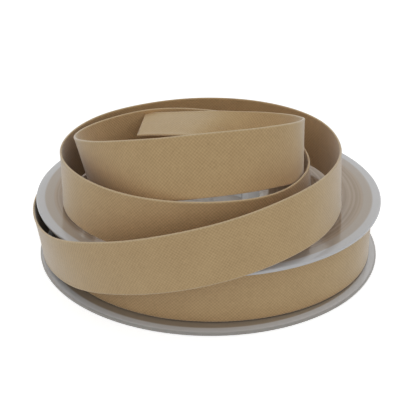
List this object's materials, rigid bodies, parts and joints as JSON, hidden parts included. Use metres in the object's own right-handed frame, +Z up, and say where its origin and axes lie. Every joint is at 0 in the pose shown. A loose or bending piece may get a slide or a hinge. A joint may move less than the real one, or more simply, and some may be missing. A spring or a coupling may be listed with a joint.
{
  "type": "roll of bias binding on a plastic spool",
  "caption": "Roll of folded bias binding wound on a flanged plastic spool, with its loose end coiled in standing turns on the upper flange.",
  "frame": {"origin": "on the surface that the spool stands on, under the middle of the whole outline; the spool's axis passes 0.28 mm to +X and 1.64 mm to +Y of it", "axes": "+Z up along the spool's axis, +Y from the front of the picture to the back, +X to the right"},
  "size_m": [0.1256, 0.1282, 0.0647],
  "materials": {
    "binding": "plain-woven cotton cut on the bias, tan beige, matt",
    "spool": "milky translucent moulded plastic, satin"
  },
  "bodies": {
    "root": {"spool_lower": "spool", "spool_upper": "spool", "wound_roll": "binding", "loose_tape": "binding"}
  },
  "joints": []
}
